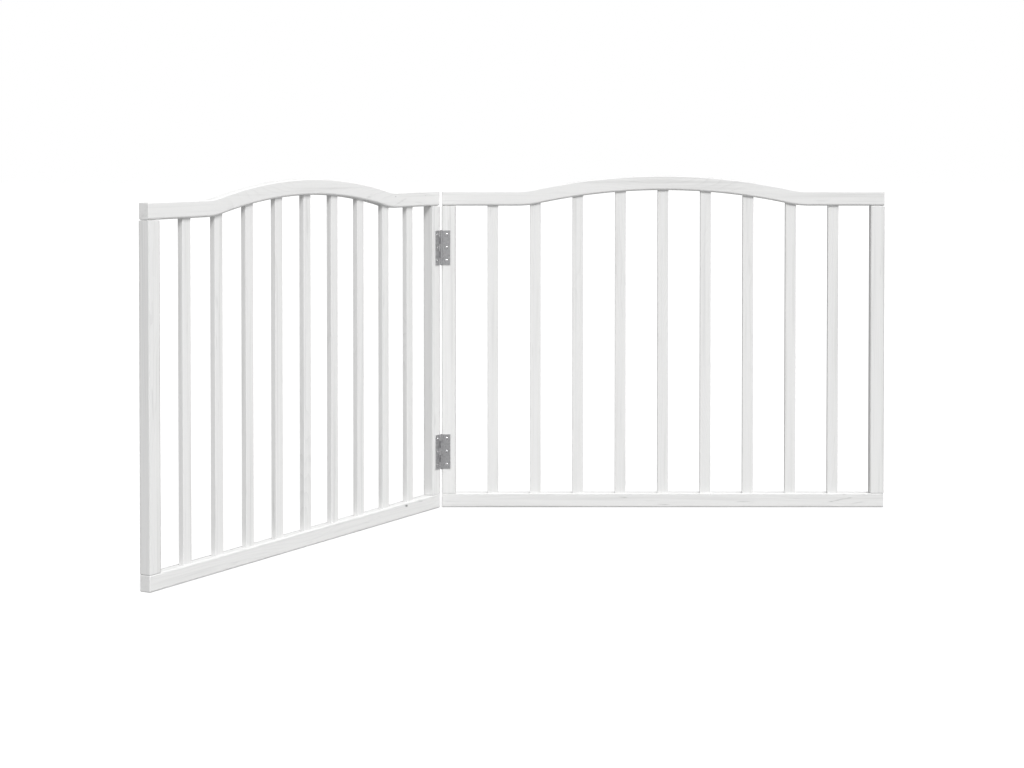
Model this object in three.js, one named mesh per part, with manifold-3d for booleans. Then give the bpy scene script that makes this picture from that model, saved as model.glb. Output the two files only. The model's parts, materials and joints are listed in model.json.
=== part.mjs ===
// Free-standing folding pet gate: two slatted wooden panels with arched top rails, joined edge to
// edge by two steel butt hinges. Millimetres, +Z up, the front of the right panel faces -Y.
import * as THREE from 'three';
import { mergeVertices } from 'three/addons/utils/BufferGeometryUtils.js';
import Module from 'manifold-3d';

// Panel frames: two rails with a post between them at each end.
const panelWidth = 799.3;
const gateHeight = 600; // floor to the crest of the top rail
const boardThickness = 19; // rails and posts are planed to one thickness
const topRailHeight = 26;
const bottomRailHeight = 25;
const railEdgeRadius = 2;
const postWidth = 25;
const postEdgeRadius = 1.5;
const postEndEasing = 1;

// Arch of the top rail: a crest arc that runs out into the level ends through two small hollows.
const archRise = 28;
const archHalfSpan = 263;
const archBlendRadius = 180;

// Slats stand in shallow mortises in both rails.
const slatCount = 9;
const slatWidth = 19.5;
const slatThickness = 9.5;
const slatEdgeRadius = 1;
const slatTenon = 10;

// Dowels pin each post to its rails.
const dowelRadius = 4;
const dowelDepthInPost = 24;
const dowelDepthInRail = 16;
const dowelChamfer = 1;

// Butt hinges: two leaves with rolled knuckles on one pin, screwed to the front of the posts.
const hingeHeight = 62;
const hingeInset = 101.5; // panel's lower and upper level edge to the middle of a hinge
const leafWidth = 16; // pin axis to the leaf's free edge
const leafThickness = 0.9;
const knuckleCount = 5;
const pinRadius = 1.2;
const pinHeadRadius = 1.8;
const pinHeadHeight = 0.6;
const screwCount = 3;
const screwFromEnd = 7.4; // leaf's end to its first screw
const screwFromPin = 9.2;
const screwLength = 14;
const screwShankRadius = 1.5;
const screwHeadRadius = 2.7;
const screwTip = 3;

// Clearances and the pose that the gate stands in.
const seatGap = 0.3; // between pieces that rest on each other
const fitGap = 0.3; // all round a piece inside a hole
const knuckleGap = 0.3; // end to end between neighbouring knuckles
const slotGap = 0.5; // between a knuckle and the edge of the other leaf beside it
const panelGap = 1.4; // between the panels' end faces when the gate is straight
const foldAngle = 60; // degrees that the left panel is swung forward from straight

// How finely round pieces are divided.
const knuckleSides = 20;
const boreSides = 16;
const pinSides = 14;
const dowelSides = 14;
const screwSides = 12;
const archSteps = 10; // along each arc of the top rail
const bevelSteps = 2; // across each rounded edge
const overshoot = 1; // how far a cutting tool runs past a face

// Worked-out sizes that several pieces share.
const levelTop = gateHeight - archRise; // top rail's upper face at the posts
const railUnderside = levelTop - topRailHeight;
const middle = panelWidth / 2;
const reachSum = (archHalfSpan ** 2 / archRise + archRise) / 2; // crest radius + blend radius
const crestRadius = reachSum - archBlendRadius;
const archAngle = Math.asin(archHalfSpan / reachSum);
const slatGap = (panelWidth - 2 * postWidth - slatCount * slatWidth) / (slatCount + 1);
const knuckleRadius = pinRadius + fitGap + leafThickness;
const axisOffset = seatGap + knuckleRadius; // pin axis in front of the posts' faces
const knuckleLength = hingeHeight / knuckleCount;
const screwSpacing = (hingeHeight - 2 * screwFromEnd) / (screwCount - 1);
const leafFront = seatGap + leafThickness; // leaf's outer face in front of the posts' faces
const hingeHeights = { lower: hingeInset, upper: levelTop - hingeInset };

const wasm = await Module();
wasm.setup();

// ---------- solids: three.js shapes in, three.js geometry out ----------

function solid(geometry) {
  const bare = geometry.index ? geometry.toNonIndexed() : geometry.clone();
  bare.deleteAttribute('normal');
  bare.deleteAttribute('uv');
  const merged = mergeVertices(bare, 1e-4);
  const mesh = new wasm.Mesh({
    numProp: 3,
    vertProperties: merged.attributes.position.array,
    triVerts: new Uint32Array(merged.index.array),
  });
  return new wasm.Manifold(mesh);
}

function geometryOf(body) {
  const mesh = body.getMesh();
  const geometry = new THREE.BufferGeometry();
  geometry.setAttribute('position', new THREE.BufferAttribute(mesh.vertProperties, 3));
  geometry.setIndex(new THREE.BufferAttribute(mesh.triVerts, 1));
  return geometry;
}

function block(low, high) {
  const size = high.map((value, i) => value - low[i]);
  const centre = high.map((value, i) => (value + low[i]) / 2);
  return solid(new THREE.BoxGeometry(...size).translate(...centre));
}

// A turned piece: radius and height pairs along +Z, closed on the axis at both ends.
function turned(profile, segments) {
  const points = profile.map(([radius, height]) => new THREE.Vector2(radius, height));
  return new THREE.LatheGeometry(points, segments).rotateX(Math.PI / 2);
}

function rod(radius, from, to, segments) {
  return turned([[0, from], [radius, from], [radius, to], [0, to]], segments);
}

function roundedRectangle(width, depth, radius) {
  const x = width / 2 - radius;
  const y = depth / 2 - radius;
  const shape = new THREE.Shape();
  shape.absarc(x, y, radius, 0, Math.PI / 2);
  shape.absarc(-x, y, radius, Math.PI / 2, Math.PI);
  shape.absarc(-x, -y, radius, Math.PI, 1.5 * Math.PI);
  shape.absarc(x, -y, radius, 1.5 * Math.PI, 2 * Math.PI);
  return shape;
}

// ---------- materials ----------

const finish = (color, roughness, metalness) =>
  new THREE.MeshStandardMaterial({ color, roughness, metalness, flatShading: true });
const whitewashedWood = finish(0xe9e9e7, 0.6, 0);
const bareWood = finish(0xc9a877, 0.8, 0);
const hingeSteel = finish(0x9b9c9e, 0.4, 1);
const screwZinc = finish(0xc9cacc, 0.25, 1);

function piece(name, body, material) {
  const mesh = new THREE.Mesh(geometryOf(body), material.clone());
  mesh.name = name;
  return mesh;
}

// ---------- wooden pieces, in a panel's frame: x from 0 to panelWidth, front face at y = 0 ----------

// Rise of the top rail's underside above its level at the posts.
function archHeight(x) {
  const d = Math.abs(x - middle);
  if (d >= archHalfSpan) return 0;
  if (d >= crestRadius * Math.sin(archAngle)) {
    return archBlendRadius - Math.sqrt(archBlendRadius ** 2 - (archHalfSpan - d) ** 2);
  }
  return archRise - crestRadius + Math.sqrt(crestRadius ** 2 - d ** 2);
}

// Adds one arched edge to an outline, at a distance above the rail's underside, from left to
// right or back again.
function addArch(shape, above, backwards) {
  const hollow = archBlendRadius - above;
  const crest = crestRadius + above;
  const down = -Math.PI / 2;
  const up = Math.PI / 2;
  const hollowHeight = railUnderside + archBlendRadius;
  const crestHeight = railUnderside + archRise - crestRadius;
  const arcs = [
    [middle - archHalfSpan, hollowHeight, hollow, down, down + archAngle, false],
    [middle, crestHeight, crest, up + archAngle, up - archAngle, true],
    [middle + archHalfSpan, hollowHeight, hollow, down - archAngle, down, false],
  ];
  if (backwards) arcs.reverse();
  for (const [x, y, radius, start, end, clockwise] of arcs) {
    if (backwards) shape.absarc(x, y, radius, end, start, !clockwise);
    else shape.absarc(x, y, radius, start, end, clockwise);
  }
}

// An outline in x and z, extruded through the board's thickness with its edges rounded over.
function boardFromOutline(shape, curveSegments) {
  const geometry = new THREE.ExtrudeGeometry(shape, {
    depth: boardThickness - 2 * railEdgeRadius,
    bevelThickness: railEdgeRadius,
    bevelSize: railEdgeRadius,
    bevelSegments: bevelSteps,
    curveSegments,
  });
  geometry.rotateX(Math.PI / 2).translate(0, boardThickness - railEdgeRadius, 0);
  return solid(geometry);
}

function topRailBlank() {
  const inset = railEdgeRadius;
  const low = railUnderside + inset;
  const high = levelTop - inset;
  const shape = new THREE.Shape();
  shape.moveTo(inset, high);
  shape.lineTo(inset, low);
  addArch(shape, inset, false);
  shape.lineTo(panelWidth - inset, low);
  shape.lineTo(panelWidth - inset, high);
  addArch(shape, topRailHeight - inset, true);
  return boardFromOutline(shape, archSteps);
}

function bottomRailBlank() {
  const inset = railEdgeRadius;
  const shape = new THREE.Shape();
  shape.moveTo(inset, inset);
  shape.lineTo(panelWidth - inset, inset);
  shape.lineTo(panelWidth - inset, bottomRailHeight - inset);
  shape.lineTo(inset, bottomRailHeight - inset);
  return boardFromOutline(shape, 1);
}

// A post stands on the bottom rail and carries the top rail, a seat gap clear of each.
function postBlank(x) {
  const low = bottomRailHeight + seatGap;
  const high = railUnderside - seatGap;
  const inset = postEndEasing;
  const section = roundedRectangle(
    postWidth - 2 * inset,
    boardThickness - 2 * inset,
    postEdgeRadius - inset,
  );
  const geometry = new THREE.ExtrudeGeometry(section, {
    depth: high - low - 2 * inset,
    bevelThickness: inset,
    bevelSize: inset,
    bevelSegments: bevelSteps,
    curveSegments: 3,
  });
  return solid(geometry.translate(x, boardThickness / 2, low + inset));
}

function slatCentre(i) {
  return postWidth + slatGap + slatWidth / 2 + i * (slatWidth + slatGap);
}

function slatSpan(x) {
  return [bottomRailHeight - slatTenon, railUnderside + archHeight(x) + slatTenon];
}

function slatSolid(x) {
  const [low, high] = slatSpan(x);
  const section = roundedRectangle(slatWidth, slatThickness, slatEdgeRadius);
  const geometry = new THREE.ExtrudeGeometry(section, {
    depth: high - low,
    bevelEnabled: false,
    curveSegments: 2,
  });
  return solid(geometry.translate(x, boardThickness / 2, low));
}

// The space that one slat needs in the rails, open between them.
function slatSocket(x) {
  const [low, high] = slatSpan(x);
  const halfWidth = slatWidth / 2 + fitGap;
  const halfDepth = slatThickness / 2 + fitGap;
  return block(
    [x - halfWidth, boardThickness / 2 - halfDepth, low - fitGap],
    [x + halfWidth, boardThickness / 2 + halfDepth, high + fitGap],
  );
}

// A dowel through the joint at one end of a post; into = 1 goes up into the top rail, -1 down.
function dowelGeometry(x, into, gap) {
  const joint = into > 0 ? railUnderside : bottomRailHeight;
  const radius = dowelRadius + gap;
  const low = -(into > 0 ? dowelDepthInPost : dowelDepthInRail) - gap;
  const high = (into > 0 ? dowelDepthInRail : dowelDepthInPost) + gap;
  const cut = dowelChamfer;
  const profile = [
    [0, low],
    [radius - cut, low],
    [radius, low + cut],
    [radius, high - cut],
    [radius - cut, high],
    [0, high],
  ];
  return turned(profile, dowelSides).translate(x, boardThickness / 2, joint);
}

// ---------- hinges, in the right panel's frame turned to the pin: pin axis at x = 0, y = 0 ----------

// Side is 1 for the leaf that reaches to +x, -1 for the one that reaches to -x.
function leafSolid(side, knuckles) {
  const back = knuckleRadius; // tangent to the barrel
  const front = back - leafThickness;
  const slot = knuckleRadius + slotGap; // leaf's edge beside the other leaf's knuckles
  const halfHeight = hingeHeight / 2;
  const across = (from, to, low, high) => block(
    [Math.min(side * from, side * to), front, low],
    [Math.max(side * from, side * to), back, high],
  );
  let leaf = across(slot, leafWidth, -halfHeight, halfHeight);
  for (const k of knuckles) {
    const low = -halfHeight + k * knuckleLength + (k > 0 ? knuckleGap / 2 : 0);
    const high = -halfHeight + (k + 1) * knuckleLength - (k < knuckleCount - 1 ? knuckleGap / 2 : 0);
    leaf = leaf.add(solid(rod(knuckleRadius, low, high, knuckleSides)));
    leaf = leaf.add(across(0, slot + leafThickness, low, high));
  }
  const reach = halfHeight + overshoot;
  leaf = leaf.subtract(solid(rod(pinRadius + fitGap, -reach, reach, boreSides)));
  for (const height of screwHeights()) {
    const hole = screwGeometry(fitGap).translate(side * screwFromPin, front, height);
    leaf = leaf.subtract(solid(hole));
  }
  return leaf;
}

function screwHeights() {
  const heights = [];
  for (let i = 0; i < screwCount; i++) heights.push((i - (screwCount - 1) / 2) * screwSpacing);
  return heights;
}

// A countersunk screw driven along +y, its head's flat top at y = 0. With a gap it is the hole:
// wider all round, deeper, and open at the top.
function screwGeometry(gap) {
  const headDepth = screwHeadRadius - screwShankRadius;
  const head = screwHeadRadius + gap;
  const shank = screwShankRadius + gap;
  const profile = [
    [0, -gap],
    [head, -gap],
    [head, 0],
    [shank, headDepth],
    [shank, screwLength - screwTip],
    [0, screwLength + gap],
  ];
  if (gap === 0) profile.splice(0, 2, [0, 0]);
  return turned(profile, screwSides).rotateX(-Math.PI / 2);
}

function pinSolid() {
  const end = hingeHeight / 2 + knuckleGap;
  const dome = pinHeadHeight / 2;
  const profile = [
    [0, -end - pinHeadHeight],
    [pinHeadRadius - dome, -end - pinHeadHeight],
    [pinHeadRadius, -end - dome],
    [pinHeadRadius, -end],
    [pinRadius, -end],
    [pinRadius, end],
    [pinHeadRadius, end],
    [pinHeadRadius, end + dome],
    [pinHeadRadius - dome, end + pinHeadHeight],
    [0, end + pinHeadHeight],
  ];
  return solid(turned(profile, pinSides));
}

// ---------- panels ----------

// Builds one panel's wooden pieces. hingeAtLeft says which of its posts carries the hinges.
function panel(side, hingeAtLeft) {
  const group = new THREE.Group();
  const posts = {
    [hingeAtLeft ? 'hinge_post' : 'end_post']: postWidth / 2,
    [hingeAtLeft ? 'end_post' : 'hinge_post']: panelWidth - postWidth / 2,
  };
  const slats = Array.from({ length: slatCount }, (_, i) => slatCentre(i));
  let topRail = topRailBlank();
  let bottomRail = bottomRailBlank();
  for (const x of slats) {
    topRail = topRail.subtract(slatSocket(x));
    bottomRail = bottomRail.subtract(slatSocket(x));
  }
  for (const [label, x] of Object.entries(posts)) {
    let post = postBlank(x);
    const upperHole = solid(dowelGeometry(x, 1, fitGap));
    const lowerHole = solid(dowelGeometry(x, -1, fitGap));
    post = post.subtract(upperHole).subtract(lowerHole);
    topRail = topRail.subtract(upperHole);
    bottomRail = bottomRail.subtract(lowerHole);
    if (label === 'hinge_post') post = drillForHinges(post, hingeAtLeft);
    group.add(piece(`${side}_${label}`, post, whitewashedWood));
    group.add(piece(`${side}_${label}_top_dowel`, solid(dowelGeometry(x, 1, 0)), bareWood));
    group.add(piece(`${side}_${label}_bottom_dowel`, solid(dowelGeometry(x, -1, 0)), bareWood));
  }
  slats.forEach((x, i) => group.add(piece(`${side}_slat_${i + 1}`, slatSolid(x), whitewashedWood)));
  group.add(piece(`${side}_top_rail`, topRail, whitewashedWood));
  group.add(piece(`${side}_bottom_rail`, bottomRail, whitewashedWood));
  return group;
}

// Pilot holes for the hinge screws, where the leaves' holes are.
function drillForHinges(post, hingeAtLeft) {
  const x = hingeAtLeft ? screwFromPin - panelGap / 2 : panelWidth + panelGap / 2 - screwFromPin;
  for (const centre of Object.values(hingeHeights)) {
    for (const height of screwHeights()) {
      const hole = screwGeometry(fitGap).translate(x, -leafFront, centre + height);
      post = post.subtract(solid(hole));
    }
  }
  return post;
}

// One leaf of each hinge with its screws; pins go with the leaf that has the outer knuckles.
function leaves(side, direction) {
  const group = new THREE.Group();
  const knuckles = [];
  for (let k = direction > 0 ? 0 : 1; k < knuckleCount; k += 2) knuckles.push(k);
  for (const [level, centre] of Object.entries(hingeHeights)) {
    const leaf = piece(`${level}_hinge_${side}_leaf`, leafSolid(direction, knuckles), hingeSteel);
    leaf.position.z = centre;
    group.add(leaf);
    if (direction > 0) {
      const pin = piece(`${level}_hinge_pin`, pinSolid(), hingeSteel);
      pin.position.z = centre;
      group.add(pin);
    }
    screwHeights().forEach((height, i) => {
      const screw = piece(`${level}_hinge_${side}_screw_${i + 1}`, solid(screwGeometry(0)), screwZinc);
      screw.position.set(direction * screwFromPin, knuckleRadius - leafThickness, centre + height);
      group.add(screw);
    });
  }
  return group;
}

// ---------- the gate: both panels hang on the pin axis ----------

// Everything on one side of the pin, in a frame whose origin is the pin axis at the floor.
function hingedPanel(side, direction) {
  const group = new THREE.Group();
  const wood = panel(side, direction > 0);
  wood.position.set(direction > 0 ? panelGap / 2 : -panelGap / 2 - panelWidth, axisOffset, 0);
  group.add(wood, leaves(side, direction));
  return group;
}

const gate = new THREE.Group();
const rightPanel = hingedPanel('right', 1);
const leftPanel = hingedPanel('left', -1);
leftPanel.rotation.z = THREE.MathUtils.degToRad(foldAngle);
gate.add(rightPanel, leftPanel);

// The gate's origin is on the floor, in the middle of the space that it stands in.
const space = new THREE.Box3().setFromObject(gate, true);
const centre = space.getCenter(new THREE.Vector3());
gate.position.set(-centre.x, -centre.y, -space.min.z);

export default gate;
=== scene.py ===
import math

import bmesh
import bpy
import numpy as np
from mathutils import Matrix, Vector
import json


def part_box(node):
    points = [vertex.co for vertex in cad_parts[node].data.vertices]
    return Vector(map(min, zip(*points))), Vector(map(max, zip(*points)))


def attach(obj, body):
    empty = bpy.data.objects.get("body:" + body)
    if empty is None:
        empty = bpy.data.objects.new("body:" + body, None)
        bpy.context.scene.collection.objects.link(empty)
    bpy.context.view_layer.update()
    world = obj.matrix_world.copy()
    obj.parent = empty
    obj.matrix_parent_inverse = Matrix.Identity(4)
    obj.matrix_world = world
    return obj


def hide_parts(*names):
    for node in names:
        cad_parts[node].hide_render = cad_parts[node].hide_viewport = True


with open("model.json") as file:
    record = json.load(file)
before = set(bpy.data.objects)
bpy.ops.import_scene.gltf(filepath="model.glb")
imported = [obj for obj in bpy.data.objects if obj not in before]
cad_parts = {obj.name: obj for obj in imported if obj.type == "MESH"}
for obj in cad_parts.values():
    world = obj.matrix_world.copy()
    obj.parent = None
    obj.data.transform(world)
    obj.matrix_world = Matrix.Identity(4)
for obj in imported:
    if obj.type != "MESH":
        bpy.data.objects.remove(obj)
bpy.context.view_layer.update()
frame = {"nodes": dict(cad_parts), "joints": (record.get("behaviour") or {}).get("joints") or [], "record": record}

# ---------- camera ----------
# A long lens well back from the gate and just right of its hinges, looking down a little. The lens
# is shifted for the rest of the way, so that the posts stay upright in the picture.
CAMERA_RIGHT_OF_PIN = 0.128
CAMERA_DISTANCE = 3.6153  # to the right panel's front face
CAMERA_HEIGHT = 0.6568
CAMERA_TILT = math.radians(1.25)
CAMERA_LENS = 70.48
CAMERA_SHIFT_X = -0.0003
CAMERA_SHIFT_Y = -0.19135

pin = Vector(frame["joints"][0]["pos_m"])
rail_low, rail_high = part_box("right_bottom_rail")

lens = bpy.data.cameras.new("camera")
lens.sensor_width = 36
lens.lens = CAMERA_LENS
lens.shift_x = CAMERA_SHIFT_X
lens.shift_y = CAMERA_SHIFT_Y
camera = bpy.data.objects.new("camera", lens)
camera.location = (pin.x + CAMERA_RIGHT_OF_PIN, rail_low.y - CAMERA_DISTANCE, CAMERA_HEIGHT)
camera.rotation_euler = (math.pi / 2 - CAMERA_TILT, 0, 0)
bpy.context.scene.collection.objects.link(camera)
bpy.context.scene.camera = camera

# ---------- bottom rails ----------
# The two straight rails that rest on the floor: planed softwood with its edges rounded over. Nine
# blind mortises for the slats and two dowel holes are cut in the upper face, then it is whitewashed.
RAIL_EDGE = 0.002
RAIL_END_EDGE = 0.0015
ROUND_STEPS = 5  # facets across each rounded edge
HOLE_SIDES = 32
SHARP_ANGLE = math.radians(40)
WASH = (0.86, 0.86, 0.855, 1)  # the white coat
STAIN = (0.47, 0.47, 0.465, 1)  # greyed wood that shows through it
KNOT = (0.16, 0.16, 0.158, 1)
RING_WIDTH = 0.0042  # from one growth ring to the next
HEART_DEPTH = 0.034  # behind the board's face to the middle of its rings
HEART_WANDER = 0.09  # how far the heart strays sideways along the plank
RING_RIPPLE = 0.7  # in rings
LATE_WOOD_EDGE = 4.0  # the higher, the narrower each ring's dark line
WASH_ROUGHNESS = 0.42
BRUSHED_ROUGHER = 0.10
STAIN_ROUGHER = 0.22
GRAIN_DEPTH = 0.00012

# A panel's own frame: x along it from its left end, y = 0 at its front face, z up from the floor.
panel_length = rail_high.x - rail_low.x
board_thickness = rail_high.y - rail_low.y
end_axis = {mount["name"]: mount["axis"] for mount in frame["record"]["mounts"]}["left_end_face"]
fold = math.atan2(-end_axis[1], -end_axis[0])  # how far the left panel is swung forward
pin_axis = Matrix.Translation((pin.x, pin.y, 0))
swung = pin_axis @ Matrix.Rotation(fold, 4, "Z")
panel_places = {
    "right": Matrix.Translation((rail_low.x, rail_low.y, 0)),
    "left": swung @ Matrix.Translation((pin.x - rail_high.x, rail_low.y - pin.y, 0)),
}

slat_low, slat_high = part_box("right_slat_1")
next_slat_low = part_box("right_slat_2")[0]
slat_width = slat_high.x - slat_low.x
slat_thickness = slat_high.y - slat_low.y
slat_spacing = next_slat_low.x - slat_low.x
first_slat = (slat_low.x + slat_high.x) / 2 - rail_low.x
slat_count = sum(name.startswith("right_slat_") for name in frame["nodes"])
mortise_gap = 0.0003  # all round a slat in its mortise, or a dowel in its hole


def add(tree, kind, inputs=(), **settings):
    """Adds a node. Each input is another node's socket or a plain value, by name or number."""
    node = tree.nodes.new(kind)
    for label, value in settings.items():
        setattr(node, label, value)
    for label, value in dict(inputs).items():
        named = [s for s in node.inputs if s.name == label and s.enabled]
        socket = named[0] if named else node.inputs[label]
        if isinstance(value, bpy.types.NodeSocket):
            tree.links.new(value, socket)
        else:
            socket.default_value = value
    return node


def calc(tree, operation, a, b=0.0, c=0.0):
    """One sum on two or three numbers or sockets; its result's socket."""
    values = {0: a, 1: b, 2: c}
    return add(tree, "ShaderNodeMath", values, operation=operation).outputs[0]


def vector(tree, x=0.0, y=0.0, z=0.0):
    """A vector made of three numbers or sockets; its socket."""
    return add(tree, "ShaderNodeCombineXYZ", {0: x, 1: y, 2: z}).outputs[0]


def new_tree(name, inputs, kind="GeometryNodeTree", outputs="Geometry:Geometry"):
    """A node tree with named inputs and outputs, each a number unless its kind is given."""
    tree = bpy.data.node_groups.new(name, kind)
    for way, sockets in (("INPUT", inputs), ("OUTPUT", outputs)):
        for socket in sockets.split(", "):
            label, _, value = socket.partition(":")
            tree.interface.new_socket(label, in_out=way, socket_type=f"NodeSocket{value or 'Float'}")
    return tree, tree.nodes.new("NodeGroupInput").outputs, tree.nodes.new("NodeGroupOutput")


def where(tree):
    """Each point's place in a tree, and that place's three parts."""
    place = add(tree, "GeometryNodeInputPosition").outputs[0]
    return place, add(tree, "ShaderNodeSeparateXYZ", {0: place}).outputs


def end_tree(tree, shape, material, output):
    """Ends a tree that makes a piece: one real mesh, smooth, in its material."""
    real = add(tree, "GeometryNodeRealizeInstances", {0: shape})
    smooth = add(tree, "GeometryNodeSetShadeSmooth", {0: real.outputs[0]})
    finish = add(
        tree, "GeometryNodeSetMaterial", {"Geometry": smooth.outputs[0], "Material": material}
    )
    tree.links.new(finish.outputs[0], output.inputs[0])


def grown(name, tree, **sizes):
    """A new object whose mesh is what a tree makes with these sizes."""
    piece = bpy.data.objects.new(name, bpy.data.meshes.new(name))
    bpy.context.scene.collection.objects.link(piece)
    modifier = piece.modifiers.new("tree", "NODES")
    modifier.node_group = tree
    for socket in tree.interface.items_tree:
        if socket.in_out == "INPUT":
            modifier[socket.identifier] = sizes[socket.name.replace(" ", "_").lower()]
    made_plain(piece)
    return piece


def made_plain(piece):
    """Turns what a piece's modifiers make into its own mesh."""
    graph = bpy.context.evaluated_depsgraph_get()
    shown = piece.evaluated_get(graph)
    mesh = bpy.data.meshes.new_from_object(shown, preserve_all_data_layers=True, depsgraph=graph)
    piece.modifiers.clear()
    piece.data = mesh


def from_bmesh(name, shape):
    """A new object that holds a finished bmesh."""
    mesh = bpy.data.meshes.new(name)
    shape.to_mesh(mesh)
    shape.free()
    mesh.shade_smooth()
    piece = bpy.data.objects.new(name, mesh)
    bpy.context.scene.collection.objects.link(piece)
    return piece


def ease_ends(shape, along, radius):
    """Rounds over the edges of a board's two end faces."""
    reach = [v.co[along] for v in shape.verts]
    ends = [min(reach), max(reach)]
    on_end = lambda v: min(abs(v.co[along] - end) for end in ends) < 1e-6
    edges = [e for e in shape.edges if on_end(e.verts[0]) and on_end(e.verts[1])]
    bmesh.ops.bevel(
        shape, geom=edges, offset=radius, segments=ROUND_STEPS, profile=0.5, affect="EDGES"
    )


def box_between(low, high):
    """A plain box between two corners, still a bmesh."""
    shape = bmesh.new()
    size = Vector(high) - Vector(low)
    place = Matrix.Translation((Vector(low) + Vector(high)) / 2) @ Matrix.Diagonal((*size, 1))
    bmesh.ops.create_cube(shape, size=1, matrix=place)
    return shape


def planed_board(name, low, high, along, edge, end_edge):
    """A straight board between two corners, its long edges and its ends rounded over."""
    shape = box_between(low, high)
    direction = Vector([float(axis == along) for axis in range(3)])
    runs_along = lambda e: abs((e.verts[1].co - e.verts[0].co).normalized().dot(direction)) > 0.9
    edges = [e for e in shape.edges if runs_along(e)]
    bmesh.ops.bevel(
        shape, geom=edges, offset=edge, segments=ROUND_STEPS, profile=0.5, affect="EDGES"
    )
    ease_ends(shape, along, end_edge)
    return from_bmesh(name, shape)


def drill(place, length, radius, sides):
    """A round cutter, upright and about the origin until it is put in its place."""
    shape = bmesh.new()
    bmesh.ops.create_cone(
        shape, cap_ends=True, segments=sides, radius1=radius, radius2=radius, depth=length,
        matrix=place,
    )
    return from_bmesh("hole", shape)


def dowel_hole(x, low, high):
    """A cutter for a dowel's hole in the middle of a board's thickness."""
    centre = Matrix.Translation((x, board_thickness / 2, (low + high) / 2))
    return drill(centre, high - low, dowel_radius + mortise_gap, HOLE_SIDES)


def cut(piece, *cutters):
    """Cuts holes in a piece with other objects, and throws those away."""
    for cutter in cutters:
        modifier = piece.modifiers.new("cut", "BOOLEAN")
        modifier.object = cutter
        modifier.solver = "MANIFOLD"
    made_plain(piece)
    for cutter in cutters:
        bpy.data.objects.remove(cutter)


def run_grain(piece, along, shift):
    """Stores where each point lies in its plank: along the grain, across the face, and inwards."""
    mesh = piece.data
    points = np.zeros(len(mesh.vertices) * 3, np.float32)
    mesh.vertices.foreach_get("co", points)
    across = 2 if along == 0 else 0
    plank = points.reshape(-1, 3)[:, [along, across, 1]] + np.array(shift, np.float32)
    if "grain" in mesh.attributes:  # left by a cutter
        mesh.attributes.remove(mesh.attributes["grain"])
    grain = mesh.attributes.new("grain", "FLOAT_VECTOR", "POINT")
    grain.data.foreach_set("vector", plank.astype(np.float32).ravel())


def finish_piece(piece, place, material, body, slot, *replaced):
    """Puts a piece in its place, shades its flats flat and its rounds round, and rides it."""
    piece.data.transform(place)
    piece.data.materials.clear()
    piece.data.materials.append(material)
    piece.data.set_sharp_from_angle(angle=SHARP_ANGLE)
    weighted = piece.modifiers.new("flat faces", "WEIGHTED_NORMAL")
    weighted.keep_sharp = True
    made_plain(piece)
    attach(piece, body)
    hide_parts(*replaced)


# Noise that is drawn out along the grain: its mask between two levels of the noise.
def drawn_out(tree, grain, along, across, low, high, detail=2.0):
    stretch = add(
        tree, "ShaderNodeVectorMath", {0: grain, 1: (along, across, across)}, operation="MULTIPLY"
    )
    noise = add(
        tree, "ShaderNodeTexNoise",
        {"Vector": stretch.outputs[0], "Scale": 1.0, "Detail": detail, "Roughness": 0.55},
    )
    level = {"Value": noise.outputs[0], "From Min": low, "From Max": high}
    return add(tree, "ShaderNodeMapRange", level, interpolation_type="SMOOTHSTEP").outputs[0]


# The grain of whitewashed softwood, as colour, roughness and height.
wood_grain, wood_in, wood_out = new_tree(
    "whitewashed_grain",
    "Grain:Vector, Wash:Color, Stain:Color, Figure, Streaks, Marks",
    "ShaderNodeTree",
    "Color:Color, Roughness, Height",
)
along_grain = add(wood_grain, "ShaderNodeSeparateXYZ", {0: wood_in["Grain"]}).outputs
wander = drawn_out(wood_grain, wood_in["Grain"], 2.2, 9.0, 0.0, 1.0)
ripple = drawn_out(wood_grain, wood_in["Grain"], 14.0, 60.0, 0.0, 1.0)
side_step = calc(wood_grain, "MULTIPLY_ADD", wander, HEART_WANDER, -HEART_WANDER / 2)
side_way = calc(wood_grain, "ADD", along_grain["Y"], side_step)
heart = calc(wood_grain, "ADD", along_grain["Z"], HEART_DEPTH)
ring = calc(
    wood_grain, "SQRT",
    calc(wood_grain, "MULTIPLY_ADD", side_way, side_way, calc(wood_grain, "POWER", heart, 2.0)),
)
rings = calc(wood_grain, "DIVIDE", ring, RING_WIDTH)
ring_count = calc(wood_grain, "MULTIPLY_ADD", ripple, RING_RIPPLE, rings)
late_wood = calc(wood_grain, "POWER", calc(wood_grain, "FRACT", ring_count), LATE_WOOD_EDGE)
patches = drawn_out(wood_grain, wood_in["Grain"], 3.0, 26.0, 0.40, 0.68)
figure = calc(
    wood_grain, "MULTIPLY", calc(wood_grain, "MULTIPLY", late_wood, patches), wood_in["Figure"]
)
fine = drawn_out(wood_grain, wood_in["Grain"], 5.0, 330.0, 0.50, 0.80)
broad = drawn_out(wood_grain, wood_in["Grain"], 2.6, 95.0, 0.50, 0.76)
streak = calc(
    wood_grain, "MULTIPLY", calc(wood_grain, "MULTIPLY_ADD", fine, 0.5, broad), wood_in["Streaks"]
)
marks = calc(
    wood_grain, "MULTIPLY",
    drawn_out(wood_grain, wood_in["Grain"], 13.0, 120.0, 0.63, 0.80), wood_in["Marks"],
)
stained = calc(wood_grain, "ADD", calc(wood_grain, "ADD", figure, streak), marks)
mask = add(wood_grain, "ShaderNodeClamp", {0: stained}).outputs[0]
brushed = drawn_out(wood_grain, wood_in["Grain"], 30.0, 900.0, 0.25, 0.75)
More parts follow.
